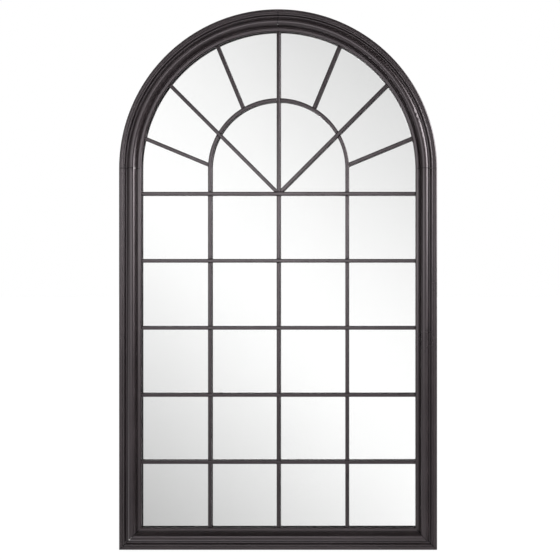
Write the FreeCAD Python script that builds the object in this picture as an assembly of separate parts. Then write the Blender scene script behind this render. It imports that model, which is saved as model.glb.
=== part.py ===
# Arched window-pane wall mirror: a roll-formed steel frame, a grille of glazing bars,
# one mirror sheet, and the back board, turn buttons and hangers behind it.
# Millimetres. X runs to the right, Y runs back to the wall, Z runs up.
import FreeCAD
import Part
import math
import os
from FreeCAD import Vector

# Overall size
OVERALL_WIDTH = 1000.0
OVERALL_HEIGHT = 1700.0

# Frame moulding: one strip of sheet steel, roll formed to an open hollow section.
# Widths run inwards from the outer edge, depths run forwards from the wall.
SHEET = 1.5
FACE_WIDTH = 68.0
BACK_FLANGE = 14.0
BAND_WIDTH = 11.0
BAND_DEPTH = 31.5
QUIRK_WIDTH = 3.6
QUIRK_DROP = 1.9
RIDGE_WIDTH = 3.0
RIDGE_RISE = 0.5
COVE_WIDTH = 13.4
COVE_DROP = 9.0
CREST_DEPTH = 38.0
TORUS_FALL = 5.5
GROOVE_WIDTH = 3.0
GROOVE_DROP = 3.0
LIP_WIDTH = 10.5
LIP_RISE = 7.7
LIP_FALL = 0.5
LEDGE_WIDTH = 19.5
LEDGE_RECESS = 9.0

# Bend radii of the moulding, on its visible side
FLANGE_BEND = 2.5
BAND_BEND = 4.5
BAND_EDGE_BEND = 2.0
QUIRK_BEND = 0.8
RIDGE_BEND = 1.8
COVE_BEND = 4.0
TORUS_BEND = 10.0
GROOVE_BEND = 1.0
LIP_EDGE_BEND = 3.0
LIP_BEND = 4.0
SEAT_BEND = 2.0
REBATE_BEND = 1.0
BENDS_SHARE_OF_FLAT = 0.98

# Glazing, from the ledge forwards
BOARD_INSET = 0.3
BOARD = 3.0
GLASS = 4.0
GASKET = 1.0
EDGE_CLEARANCE = 1.0
GASKET_MARGIN = 1.0
PAD_LENGTH = 50.0
PAD_OFFSET = 230.0

# Glazing bars
BAR_WIDTH = 11.5
BAR_DEPTH = 6.0
BAR_ARRIS = 0.8
BAR_GLASS_GAP = 0.3
LAP_GAP = 0.1
WELD_GAP = 0.15
LIGHT_ROWS = 5
HUB_DROP = 79.0
FAN_RADIUS = 216.5
LONG_SPOKE_ANGLE = 45.0
UPPER_SPOKE_ANGLE = 22.5
LOWER_SPOKE_ANGLE = 67.5

# Plates that tie the frame lengths together on the ledge
BRACE_WIDTH = 12.0
BRACE = 2.0
BRACE_ARM = 70.0
PLATE_REACH = 45.0
BRACE_SCREW_NEAR = 15.0
BRACE_SCREW_FAR = 35.0

# Pan-head screws
SCREW_R = 2.0
SCREW_CLEARANCE = 0.1
SCREW_HEAD_R = 3.8
SCREW_HEAD = 2.2
SCREW_LENGTH = 4.0
SCREW_POINT = 1.5

# Turn buttons that hold the board
BUTTON_WIDTH = 12.0
BUTTON_REACH = 17.0
BUTTON = 1.5
BUTTON_PLAY = 0.1
STILE_BUTTON_FIRST = 220.0
STILE_BUTTON_LAST_DROP = 300.0
STILE_BUTTONS = 3
BASE_BUTTON_OFFSET = 250.0
ARCH_BUTTON_ANGLE = 45.0

# Strap hangers and their rings
HANGER_DROP = 140.0
STRAP_WIDTH = 15.0
STRAP = 1.2
STRAP_LENGTH = 50.0
STRAP_CORNER = 4.0
STRAP_SCREW_FIRST = 29.0
STRAP_SCREW_STEP = 13.0
BARREL_LIFT = 0.25
RING_WIRE_R = 2.0
RING_CLEARANCE = 0.1
RING_SIDE_GAP = 0.5
RING_CORNER = 4.0
RING_SIDE = 5.0

# Places worked out from the sizes above
FORWARD = Vector(0, -1, 0)
WALL_Y = BAND_DEPTH / 2
ARCH_RADIUS = OVERALL_WIDTH / 2
SPRING_Z = OVERALL_HEIGHT - ARCH_RADIUS
ARCH_CENTRE = Vector(0, 0, SPRING_Z)
ARCH_AXIS = Vector(0, 1, 0)
LEFT_EDGE = -OVERALL_WIDTH / 2

SIGHT_RADIUS = ARCH_RADIUS - FACE_WIDTH
REBATE = FACE_WIDTH - LIP_WIDTH
LEDGE_END = REBATE - LEDGE_WIDTH
LEDGE_LINE = (LEDGE_END + REBATE - SEAT_BEND) / 2

BOARD_BACK = LEDGE_RECESS + BOARD_INSET
GLASS_BACK = BOARD_BACK + BOARD
GLASS_FRONT = GLASS_BACK + GLASS
SEAT_DEPTH = GLASS_FRONT + GASKET
LIP_DEPTH = SEAT_DEPTH + LIP_RISE
GLAZING_EDGE = REBATE + EDGE_CLEARANCE

BAR_BACK = GLASS_FRONT + BAR_GLASS_GAP
BAR_FRONT = BAR_BACK + BAR_DEPTH
BAR_MID = (BAR_BACK + BAR_FRONT) / 2
HUB_Z = SPRING_Z - HUB_DROP
ROW_PITCH = (HUB_Z + BAR_WIDTH / 2 - FACE_WIDTH) / LIGHT_ROWS
ROW_Z = [FACE_WIDTH + ROW_PITCH * (row + 1) - BAR_WIDTH / 2 for row in range(LIGHT_ROWS)]

HOLE_R = SCREW_R + SCREW_CLEARANCE
BUTTON_FRONT = LEDGE_RECESS - BUTTON_PLAY
BUTTON_BACK = BUTTON_FRONT - BUTTON
BARREL_R = RING_WIRE_R + RING_CLEARANCE + STRAP
RING_DEPTH = LEDGE_RECESS - BARREL_R - BARREL_LIFT
HANGER_Z = SPRING_Z - HANGER_DROP
HANGER_X = LEFT_EDGE + LEDGE_LINE


def at(x, depth, z):
    """A point by its place across, its depth in front of the wall, and its height."""
    return Vector(x, WALL_Y - depth, z)


def on_arch(inset, angle):
    """Place across and height on the arch, inset from its edge, at an angle from the crown."""
    turn = math.radians(angle)
    radius = ARCH_RADIUS - inset
    return radius * math.sin(turn), SPRING_Z + radius * math.cos(turn)


def mirrored(shape):
    """The right-hand twin of a left-hand piece."""
    return shape.mirror(Vector(0, 0, 0), Vector(1, 0, 0))


# Outlines with rounded bends

def bend_radii(points, radii):
    """The bend radii, limited so that two bends never use up more than the flat between them."""
    legs = [b - a for a, b in zip(points, points[1:])]
    trims = [0.0] * len(points)
    for i in range(1, len(points) - 1):
        trims[i] = radii[i] * math.tan(legs[i - 1].getAngle(legs[i]) / 2)
    limited = list(radii)
    for i in range(1, len(points) - 1):
        for leg, other in ((legs[i - 1], trims[i - 1]), (legs[i], trims[i + 1])):
            share = BENDS_SHARE_OF_FLAT * leg.Length / (trims[i] + other)
            limited[i] = min(limited[i], radii[i] * share)
    return limited


def bent_path(corners, shift):
    """Lines and tangent arcs through the corners (u, v, bend), shifted to the right of the path."""
    points = [Vector(u, v, 0) for u, v, bend in corners]
    radii = bend_radii(points, [bend for u, v, bend in corners])
    headings = [(b - a).normalize() for a, b in zip(points, points[1:])]
    rights = [Vector(d.y, -d.x, 0) for d in headings]
    pieces = []
    last = points[0] + rights[0] * shift
    for i in range(1, len(points) - 1):
        before, after = headings[i - 1], headings[i]
        corner = points[i] + (rights[i - 1] + rights[i]) * (shift / (1 + rights[i - 1].dot(rights[i])))
        turns_right = before.cross(after).z < 0
        radius = radii[i] - shift if turns_right else radii[i] + shift
        half = before.getAngle(after) / 2
        trim = radius * math.tan(half)
        inside = (after - before).normalize()
        start = corner - before * trim
        middle = corner + inside * (radius / math.cos(half) - radius)
        end = corner + after * trim
        pieces.append((last, start))
        pieces.append((start, middle, end))
        last = end
    pieces.append((last, points[-1] + rights[-1] * shift))
    return pieces


def edges_of(pieces, origin, across):
    """Edges of path pieces, laid out across and forwards from an origin."""
    edges = []
    for piece in pieces:
        placed = [origin + across * p.x + FORWARD * p.y for p in piece]
        if len(placed) == 2:
            edges.append(Part.makeLine(placed[0], placed[1]))
        else:
            edges.append(Part.Arc(placed[0], placed[1], placed[2]).toShape())
    return edges


def moulding_section(origin, inwards):
    """Face of the roll-formed moulding: its visible path and the same path one sheet deeper."""
    quirk = BAND_WIDTH + QUIRK_WIDTH
    ridge = quirk + RIDGE_WIDTH
    corners = [
        (BACK_FLANGE, 0, 0),
        (0, 0, FLANGE_BEND),
        (0, BAND_DEPTH, BAND_BEND),
        (BAND_WIDTH, BAND_DEPTH, BAND_EDGE_BEND),
        (BAND_WIDTH + QUIRK_WIDTH / 2, BAND_DEPTH - QUIRK_DROP, QUIRK_BEND),
        (quirk, BAND_DEPTH + RIDGE_RISE, RIDGE_BEND),
        (ridge, BAND_DEPTH + RIDGE_RISE / 2, RIDGE_BEND),
        (ridge + COVE_WIDTH / 2, BAND_DEPTH - COVE_DROP, COVE_BEND),
        (ridge + COVE_WIDTH, CREST_DEPTH, TORUS_BEND),
        (REBATE - GROOVE_WIDTH - TORUS_FALL, CREST_DEPTH, TORUS_BEND),
        (REBATE - GROOVE_WIDTH, LIP_DEPTH + LIP_FALL - GROOVE_DROP, GROOVE_BEND),
        (REBATE, LIP_DEPTH + LIP_FALL, LIP_EDGE_BEND),
        (FACE_WIDTH, LIP_DEPTH, LIP_BEND),
        (FACE_WIDTH, SEAT_DEPTH, SEAT_BEND),
        (REBATE, SEAT_DEPTH, REBATE_BEND),
        (REBATE, LEDGE_RECESS, SEAT_BEND),
        (LEDGE_END, LEDGE_RECESS, 0),
    ]
    seen = bent_path(corners, 0)
    hidden = bent_path(corners, SHEET)
    hem = [(seen[-1][-1], hidden[-1][-1])]
    start = [(hidden[0][0], seen[0][0])]
    loop = edges_of(seen + hem + hidden[::-1] + start, origin, inwards)
    return Part.Face(Part.Wire(loop))


# Frame lengths

def prism(outline, depth_from, depth_to):
    """Solid of a straight-sided outline (x, z) between two depths."""
    ring = [at(x, depth_from, z) for x, z in outline]
    face = Part.Face(Part.makePolygon(ring + ring[:1]))
    return face.extrude(FORWARD * (depth_to - depth_from))


def mitred(length, outline):
    """A frame length trimmed to an outline that runs clear of it in depth."""
    return length.common(prism(outline, -SHEET, CREST_DEPTH + SHEET))


def left_stile():
    length = moulding_section(at(LEFT_EDGE, 0, 0), Vector(1, 0, 0)).extrude(Vector(0, 0, SPRING_Z))
    past = FACE_WIDTH + SHEET
    outline = [
        (LEFT_EDGE - SHEET, -SHEET),
        (LEFT_EDGE - SHEET, SPRING_Z),
        (LEFT_EDGE + past, SPRING_Z),
        (LEFT_EDGE + past, past),
    ]
    return mitred(length, outline)


def base_rail():
    length = moulding_section(at(LEFT_EDGE, 0, 0), Vector(0, 0, 1)).extrude(Vector(OVERALL_WIDTH, 0, 0))
    past = FACE_WIDTH + SHEET
    outline = [
        (LEFT_EDGE - SHEET, -SHEET),
        (-LEFT_EDGE + SHEET, -SHEET),
        (-LEFT_EDGE - past, past),
        (LEFT_EDGE + past, past),
    ]
    return mitred(length, outline)


def left_arch():
    section = moulding_section(at(LEFT_EDGE, 0, SPRING_Z), Vector(1, 0, 0))
    return section.revolve(ARCH_CENTRE, ARCH_AXIS, 90)


# Glazing

def arched_face(inset, depth):
    """Face of the mirror's arched outline, inset from the frame's outer edge."""
    half = ARCH_RADIUS - inset
    foot_left = at(-half, depth, inset)
    foot_right = at(half, depth, inset)
    spring_left = at(-half, depth, SPRING_Z)
    spring_right = at(half, depth, SPRING_Z)
    crown = at(0, depth, SPRING_Z + half)
    outline = [
        Part.makeLine(foot_left, foot_right),
        Part.makeLine(foot_right, spring_right),
        Part.Arc(spring_right, crown, spring_left).toShape(),
        Part.makeLine(spring_left, foot_left),
    ]
    return Part.Face(Part.Wire(outline))


def arched_sheet(inset, depth_from, depth_to):
    return arched_face(inset, depth_from).extrude(FORWARD * (depth_to - depth_from))


def glazing_gasket():
    outside = arched_sheet(GLAZING_EDGE, GLASS_FRONT, SEAT_DEPTH)
    return outside.cut(arched_sheet(FACE_WIDTH - GASKET_MARGIN, GLASS_FRONT, SEAT_DEPTH))


def block(x, z, width, height, depth_from, depth_to):
    """Box centred on x, standing on z, between two depths."""
    corner = at(x - width / 2, depth_to, z)
    return Part.makeBox(width, depth_to - depth_from, height, corner)


def setting_pads():
    """Two strips that carry the sheet's foot on the base rail's rebate."""
    return Part.makeCompound([
        block(side * PAD_OFFSET, REBATE, PAD_LENGTH, EDGE_CLEARANCE, BOARD_BACK + SEAT_BEND, GLASS_FRONT)
        for side in (-1, 1)
    ])


# Glazing bars

def bar_section(origin, across):
    """Flat bar section with a small arris along its two front edges."""
    half = BAR_WIDTH / 2
    corners = [
        (-half, BAR_BACK),
        (-half, BAR_FRONT - BAR_ARRIS),
        (-half + BAR_ARRIS, BAR_FRONT),
        (half - BAR_ARRIS, BAR_FRONT),
        (half, BAR_FRONT - BAR_ARRIS),
        (half, BAR_BACK),
    ]
    ring = [origin + across * u + FORWARD * v for u, v in corners]
    return Part.Face(Part.makePolygon(ring + ring[:1]))


def bar(x0, z0, x1, z1):
    """Glazing bar between two points of the grille."""
    run = Vector(x1 - x0, 0, z1 - z0)
    across = Vector(run).normalize().cross(FORWARD)
    return bar_section(at(x0, 0, z0), across).extrude(run)


def slab(x0, z0, x1, z1, width, depth_from, depth_to):
    """Square-edged cutter along a line of the grille."""
    run = Vector(x1 - x0, 0, z1 - z0)
    side = Vector(run).normalize().cross(FORWARD) * (width / 2)
    outline = [
        (x0 - side.x, z0 - side.z),
        (x1 - side.x, z1 - side.z),
        (x1 + side.x, z1 + side.z),
        (x0 + side.x, z0 + side.z),
    ]
    return prism(outline, depth_from, depth_to)


def spoke_end(angle):
    """A point outside the arch on the line from the hub at an angle from upright."""
    turn = math.radians(angle)
    reach = HUB_DROP + ARCH_RADIUS
    return reach * math.sin(turn), HUB_Z + reach * math.cos(turn)


LAP_WIDTH = BAR_WIDTH + 2 * LAP_GAP
BAR_END = SIGHT_RADIUS - WELD_GAP
BAR_FOOT = FACE_WIDTH + WELD_GAP
CROWN_Z = SPRING_Z + ARCH_RADIUS
BACK_HALF = (BAR_BACK - BAR_DEPTH, BAR_MID)
FRONT_HALF = (BAR_MID, BAR_FRONT + BAR_DEPTH)


def hoop_band(half_width, depth_from, depth_to):
    """Half ring of a given half width on the hoop's half circle."""
    axis_from = at(0, depth_from, SPRING_Z)
    depth = depth_to - depth_from
    reach = FAN_RADIUS + half_width
    outer = Part.makeCylinder(reach, depth, axis_from, FORWARD)
    ring = outer.cut(Part.makeCylinder(FAN_RADIUS - half_width, depth, axis_from, FORWARD))
    return ring.common(block(0, SPRING_Z, 2 * reach, reach, depth_from, depth_to))


def sight_opening():
    """The space that the grille fills, up to the frame's lip."""
    return arched_sheet(BAR_FOOT, BAR_BACK - BAR_DEPTH, BAR_FRONT + BAR_DEPTH)


def row_bar(z, mullions):
    """Bar from stile to stile, halved behind for each mullion that crosses it."""
    rail = bar(-BAR_END, z, BAR_END, z)
    for x in mullions:
        rail = rail.cut(block(x, z - BAR_WIDTH, LAP_WIDTH, 2 * BAR_WIDTH, *BACK_HALF))
    return rail


def halved_for_rows(mullion, x, rows):
    """Mullion halved in front for each row bar that crosses it."""
    for z in rows:
        mullion = mullion.cut(block(x, z - LAP_WIDTH / 2, 2 * BAR_WIDTH, LAP_WIDTH, *FRONT_HALF))
    return mullion


def centre_mullion():
    post = bar(0, BAR_FOOT, 0, CROWN_Z).common(sight_opening())
    post = halved_for_rows(post, 0, ROW_Z)
    return post.cut(hoop_band(LAP_WIDTH / 2, *BACK_HALF))


def left_mullion():
    post = bar(-FAN_RADIUS, BAR_FOOT, -FAN_RADIUS, HUB_Z - BAR_WIDTH / 2 - WELD_GAP)
    return halved_for_rows(post, -FAN_RADIUS, ROW_Z[:-1])


def fan_hoop():
    """Hoop on two short legs, halved in front for the mullion and the long spokes."""
    foot = HUB_Z + BAR_WIDTH / 2 + WELD_GAP
    leg = bar(-FAN_RADIUS, foot, -FAN_RADIUS, SPRING_Z)
    half_circle = bar_section(at(-FAN_RADIUS, 0, SPRING_Z), Vector(1, 0, 0))
    hoop = half_circle.revolve(ARCH_CENTRE, ARCH_AXIS, 180)
    hoop = hoop.fuse([leg, mirrored(leg)]).removeSplitter()
    for angle in (-LONG_SPOKE_ANGLE, 0, LONG_SPOKE_ANGLE):
        hoop = hoop.cut(slab(0, HUB_Z, *spoke_end(angle), LAP_WIDTH, *FRONT_HALF))
    return hoop


def left_long_spoke():
    """Spoke from the corner at the hub, across the hoop, to the arch."""
    spoke = bar(0, HUB_Z, *spoke_end(-LONG_SPOKE_ANGLE)).common(sight_opening())
    clear = BAR_WIDTH + 2 * WELD_GAP
    grille_depth = (BAR_BACK - BAR_DEPTH, BAR_FRONT + BAR_DEPTH)
    spoke = spoke.cut(slab(0, FACE_WIDTH, 0, CROWN_Z, clear, *grille_depth))
    spoke = spoke.cut(slab(-ARCH_RADIUS, HUB_Z, ARCH_RADIUS, HUB_Z, clear, *grille_depth))
    spoke = spoke.cut(hoop_band(LAP_WIDTH / 2, *BACK_HALF))
    return max(spoke.Solids, key=lambda solid: solid.Volume)


def left_short_spoke(angle):
    """Spoke from the outside of the hoop to the arch."""
    spoke = bar(0, HUB_Z, *spoke_end(-angle)).common(sight_opening())
    clear = FAN_RADIUS + BAR_WIDTH / 2 + WELD_GAP
    depth_from = BAR_BACK - BAR_DEPTH
    depth_to = BAR_FRONT + BAR_DEPTH
    inside = Part.makeCylinder(clear, depth_to - depth_from, at(0, depth_from, SPRING_Z), FORWARD)
    legs = block(0, HUB_Z - BAR_WIDTH, 2 * clear, HUB_DROP + BAR_WIDTH, depth_from, depth_to)
    return spoke.cut(inside.fuse(legs))


# Screws and the plates under them

def screw(x, z, seat_depth):
    """Pan-head screw: its head rests on a plate's back, its shank passes the plate and the ledge."""
    tip = LEDGE_RECESS + SHEET + SCREW_LENGTH
    top = at(x, seat_depth - SCREW_HEAD, z)
    rim = at(x + SCREW_HEAD_R, seat_depth, z)
    shoulder_r = SCREW_HEAD_R * math.sqrt(0.75)
    shoulder = at(x + shoulder_r, seat_depth - SCREW_HEAD / 2, z)
    neck = at(x + SCREW_R, seat_depth, z)
    shank_end = at(x + SCREW_R, tip - SCREW_POINT, z)
    point = at(x, tip, z)
    outline = [
        Part.Arc(top, shoulder, rim).toShape(),
        Part.makeLine(rim, neck),
        Part.makeLine(neck, shank_end),
        Part.makeLine(shank_end, point),
        Part.makeLine(point, top),
    ]
    return Part.Face(Part.Wire(outline)).revolve(top, ARCH_AXIS, 360)


def drilled(shape, places, depth_from, depth_to):
    """A piece with a screw hole at each place."""
    depth = depth_to - depth_from
    holes = [Part.makeCylinder(HOLE_R, depth, at(x, depth_from, z), FORWARD) for x, z in places]
    return shape.cut(holes)


def ledge_arc(inset_from, inset_to, angle_from, angle_to, depth_from, depth_to):
    """Curved plate that follows the arch between two angles from the crown."""
    outline = [
        at(-inset_to, depth_from, 0),
        at(-inset_from, depth_from, 0),
        at(-inset_from, depth_to, 0),
        at(-inset_to, depth_to, 0),
    ]
    section = Part.Face(Part.makePolygon(outline + outline[:1]))
    section.translate(Vector(ARCH_RADIUS, 0, SPRING_Z))
    section.rotate(ARCH_CENTRE, ARCH_AXIS, angle_from - 90)
    return section.revolve(ARCH_CENTRE, ARCH_AXIS, angle_to - angle_from)


BRACE_FROM = LEDGE_LINE - BRACE_WIDTH / 2
BRACE_TO = LEDGE_LINE + BRACE_WIDTH / 2
BRACE_BACK = LEDGE_RECESS - BRACE
DEGREES_PER_MM = math.degrees(1 / (ARCH_RADIUS - LEDGE_LINE))


def corner_screw_places():
    """Two screws on each arm of the left corner brace."""
    places = []
    for step in (BRACE_SCREW_NEAR, BRACE_SCREW_FAR):
        along = LEDGE_LINE + BRACE_WIDTH / 2 + step
        places.append((LEFT_EDGE + LEDGE_LINE, along))
        places.append((LEFT_EDGE + along, LEDGE_LINE))
    return places


def spring_screw_places():
    """Screws below and above the joint between the left stile and the left arch."""
    places = []
    for step in (BRACE_SCREW_NEAR, BRACE_SCREW_FAR):
        places.append((LEFT_EDGE + LEDGE_LINE, SPRING_Z - step))
        places.append(on_arch(LEDGE_LINE, -90 + step * DEGREES_PER_MM))
    return places


def crown_screw_places():
    """Screws on the left of the joint between the two arches."""
    return [on_arch(LEDGE_LINE, -step * DEGREES_PER_MM) for step in (BRACE_SCREW_NEAR, BRACE_SCREW_FAR)]


def both_sides(places):
    return places + [(-x, z) for x, z in places]


def left_corner_brace():
    """Flat angle plate across the mitre."""
    tip = BRACE_FROM + BRACE_ARM
    outline = [
        (LEFT_EDGE + BRACE_FROM, BRACE_FROM),
        (LEFT_EDGE + tip, BRACE_FROM),
        (LEFT_EDGE + tip, BRACE_TO),
        (LEFT_EDGE + BRACE_TO, BRACE_TO),
        (LEFT_EDGE + BRACE_TO, tip),
        (LEFT_EDGE + BRACE_FROM, tip),
    ]
    plate = prism(outline, BRACE_BACK, LEDGE_RECESS)
    return drilled(plate, corner_screw_places(), BRACE_BACK - BRACE, LEDGE_RECESS + BRACE)


def left_spring_plate():
    """Tie plate, straight along the stile and curved along the arch."""
    x = LEFT_EDGE + LEDGE_LINE
    straight = block(x, SPRING_Z - PLATE_REACH, BRACE_WIDTH, PLATE_REACH, BRACE_BACK, LEDGE_RECESS)
    sweep = PLATE_REACH * DEGREES_PER_MM
    curved = ledge_arc(BRACE_FROM, BRACE_TO, -90, -90 + sweep, BRACE_BACK, LEDGE_RECESS)
    plate = straight.fuse(curved).removeSplitter()
    return drilled(plate, spring_screw_places(), BRACE_BACK - BRACE, LEDGE_RECESS + BRACE)


def crown_plate():
    sweep = PLATE_REACH * DEGREES_PER_MM
    plate = ledge_arc(BRACE_FROM, BRACE_TO, -sweep, sweep, BRACE_BACK, LEDGE_RECESS)
    return drilled(plate, both_sides(crown_screw_places()), BRACE_BACK - BRACE, LEDGE_RECESS + BRACE)


# Turn buttons

def button_places():
    """Pivot of each turn button, with the way that it points over the board."""
    places = {}
    last = SPRING_Z - STILE_BUTTON_LAST_DROP
    stile_button_step = (last - STILE_BUTTON_FIRST) / (STILE_BUTTONS - 1)
    for side, x in (("left", LEFT_EDGE + LEDGE_LINE), ("right", -LEFT_EDGE - LEDGE_LINE)):
        inwards = Vector(-math.copysign(1, x), 0, 0)
        for i in range(STILE_BUTTONS):
            z = STILE_BUTTON_FIRST + stile_button_step * i
            places["%s_turn_button_%d" % (side, i + 1)] = (x, z, inwards)
        base_x = math.copysign(BASE_BUTTON_OFFSET, x)
        places["%s_base_turn_button" % side] = (base_x, LEDGE_LINE, Vector(0, 0, 1))
        arch_x, arch_z = on_arch(LEDGE_LINE, math.copysign(ARCH_BUTTON_ANGLE, x))
        towards_centre = Vector(-arch_x, 0, SPRING_Z - arch_z).normalize()
        places["%s_arch_turn_button" % side] = (arch_x, arch_z, towards_centre)
    return places


def turn_button(x, z, pointing):
    """Round-ended plate that turns on a screw near one end."""
    half = BUTTON_WIDTH / 2
    pivot = at(x, BUTTON_BACK, z)
    tip = pivot + pointing * BUTTON_REACH
    side = pointing.cross(FORWARD) * half
    outline = [
        Part.makeLine(pivot - side, tip - side),
        Part.Arc(tip - side, tip + pointing * half, tip + side).toShape(),
        Part.makeLine(tip + side, pivot + side),
        Part.Arc(pivot + side, pivot - pointing * half, pivot - side).toShape(),
    ]
    plate = Part.Face(Part.Wire(outline)).extrude(FORWARD * BUTTON)
    return drilled(plate, [(x, z)], BUTTON_BACK - BUTTON, BUTTON_FRONT + BUTTON)


# Hangers

def strap_screw_places():
    """Screws of the left hanger strap."""
    first = HANGER_Z - STRAP_SCREW_FIRST
    return [(HANGER_X, first), (HANGER_X, first - STRAP_SCREW_STEP)]


def left_hanger_strap():
    """Strap screwed to the ledge, rolled at its upper end into a barrel for the ring."""
    half = STRAP_WIDTH / 2
    foot = HANGER_Z - STRAP_LENGTH
    back = LEDGE_RECESS - STRAP
    bow = STRAP_CORNER * (1 - math.sqrt(0.5))
    top_left = at(HANGER_X - half, back, HANGER_Z)
    top_right = at(HANGER_X + half, back, HANGER_Z)
    left_end = at(HANGER_X - half, back, foot + STRAP_CORNER)
    right_end = at(HANGER_X + half, back, foot + STRAP_CORNER)
    foot_left = at(HANGER_X - half + STRAP_CORNER, back, foot)
    foot_right = at(HANGER_X + half - STRAP_CORNER, back, foot)
    outline = [
        Part.makeLine(top_right, top_left),
        Part.makeLine(top_left, left_end),
        Part.Arc(left_end, at(HANGER_X - half + bow, back, foot + bow), foot_left).toShape(),
        Part.makeLine(foot_left, foot_right),
        Part.Arc(foot_right, at(HANGER_X + half - bow, back, foot + bow), right_end).toShape(),
        Part.makeLine(right_end, top_right),
    ]
    plate = Part.Face(Part.Wire(outline)).extrude(FORWARD * STRAP)
    barrel_from = at(HANGER_X - half, RING_DEPTH, HANGER_Z)
    barrel = Part.makeCylinder(BARREL_R, STRAP_WIDTH, barrel_from, Vector(1, 0, 0))
    bore = Part.makeCylinder(BARREL_R - STRAP, STRAP_WIDTH, barrel_from, Vector(1, 0, 0))
    strap = plate.fuse(barrel).cut(bore).removeSplitter()
    return drilled(strap, strap_screw_places(), back - STRAP, LEDGE_RECESS + STRAP)


def left_hanger_ring():
    """Wire ring shaped as a D, hanging down from the barrel that holds its straight side."""
    reach = STRAP_WIDTH / 2 + RING_SIDE_GAP + RING_CORNER
    bow = RING_CORNER * (1 - math.sqrt(0.5))
    low = -RING_CORNER - RING_SIDE

    def spot(x, z):
        return at(HANGER_X + x, RING_DEPTH, HANGER_Z + z)

    straight_left = spot(-reach + RING_CORNER, 0)
    straight_right = spot(reach - RING_CORNER, 0)
    path = [
        Part.makeLine(straight_left, straight_right),
        Part.Arc(straight_right, spot(reach - bow, -bow), spot(reach, -RING_CORNER)).toShape(),
        Part.makeLine(spot(reach, -RING_CORNER), spot(reach, low)),
        Part.Arc(spot(reach, low), spot(0, low - reach), spot(-reach, low)).toShape(),
        Part.makeLine(spot(-reach, low), spot(-reach, -RING_CORNER)),
        Part.Arc(spot(-reach, -RING_CORNER), spot(-reach + bow, -bow), straight_left).toShape(),
    ]
    wire_section = Part.Wire(Part.makeCircle(RING_WIRE_R, straight_left, Vector(1, 0, 0)))
    return Part.Wire(path).makePipeShell([wire_section], True, False)


# Every piece by its name

def frame_pieces():
    """The five frame lengths, drilled for the screws in their ledges."""
    braces = corner_screw_places() + spring_screw_places() + crown_screw_places()
    buttons = [(x, z) for x, z, pointing in button_places().values()]
    places = both_sides(braces + strap_screw_places()) + buttons
    through = (LEDGE_RECESS - SHEET, LEDGE_RECESS + 2 * SHEET)
    left = {"stile": left_stile(), "arch": left_arch()}
    pieces = {"base_rail": base_rail()}
    for name, shape in left.items():
        pieces["left_" + name] = shape
        pieces["right_" + name] = mirrored(shape)
    return {name: drilled(shape, places, *through) for name, shape in pieces.items()}


def joint_pieces():
    corner = left_corner_brace()
    spring = left_spring_plate()
    places = both_sides(corner_screw_places() + spring_screw_places() + crown_screw_places())
    return {
        "left_corner_brace": corner,
        "right_corner_brace": mirrored(corner),
        "left_spring_plate": spring,
        "right_spring_plate": mirrored(spring),
        "crown_plate": crown_plate(),
        "brace_screws": Part.makeCompound([screw(x, z, BRACE_BACK) for x, z in places]),
    }


def grille_pieces():
    mullions = (-FAN_RADIUS, 0, FAN_RADIUS)
    pieces = {"row_bar_%d" % (row + 1): row_bar(z, mullions) for row, z in enumerate(ROW_Z[:-1])}
    pieces["hub_rail"] = row_bar(HUB_Z, (0,))
    pieces["centre_mullion"] = centre_mullion()
    pieces["fan_hoop"] = fan_hoop()
    left = {
        "mullion": left_mullion(),
        "long_spoke": left_long_spoke(),
        "upper_spoke": left_short_spoke(UPPER_SPOKE_ANGLE),
        "lower_spoke": left_short_spoke(LOWER_SPOKE_ANGLE),
    }
    for name, shape in left.items():
        pieces["left_" + name] = shape
        pieces["right_" + name] = mirrored(shape)
    return pieces


def glazing_pieces():
    return {
        "mirror_glass": arched_sheet(GLAZING_EDGE, GLASS_BACK, GLASS_FRONT),
        "glazing_gasket": glazing_gasket(),
        "setting_pads": setting_pads(),
        "backing_board": arched_sheet(GLAZING_EDGE, BOARD_BACK, GLASS_BACK),
    }


def back_pieces():
    places = button_places()
    pieces = {name: turn_button(x, z, pointing) for name, (x, z, pointing) in places.items()}
    head_seat = BUTTON_BACK - BUTTON_PLAY
    pieces["button_screws"] = Part.makeCompound([screw(x, z, head_seat) for x, z, way in places.values()])
    strap = left_hanger_strap()
    ring = left_hanger_ring()
    straps = both_sides(strap_screw_places())
    pieces["left_hanger_strap"] = strap
    pieces["right_hanger_strap"] = mirrored(strap)
    pieces["left_hanger_ring"] = ring
    pieces["right_hanger_ring"] = mirrored(ring)
    pieces["hanger_screws"] = Part.makeCompound([screw(x, z, LEDGE_RECESS - STRAP) for x, z in straps])
    return pieces


os.makedirs("parts", exist_ok=True)
for group in (frame_pieces, joint_pieces, grille_pieces, glazing_pieces, back_pieces):
    for name, shape in group().items():
        shape.exportStep("parts/%s.step" % name)
        print("%-24s %d solids %12.1f mm3 valid %s" % (name, len(shape.Solids), shape.Volume, shape.isValid()))
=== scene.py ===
# %% [markdown]
# # A wall mirror shaped like an arched window
# The real mirror is a welded steel window: a roll-formed frame, a grille of flat bars, one mirror
# sheet behind the whole grille, and a board, clips and hangers at the back. CAD has already made
# those pieces with their true sizes. This lesson dresses them: paint, glass, welds, screws, light.
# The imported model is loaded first, so that every later piece can take its place from a real one.

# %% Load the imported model
import bmesh
import bpy
import math
import random
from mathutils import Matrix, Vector, noise
from mathutils.bvhtree import BVHTree


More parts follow.
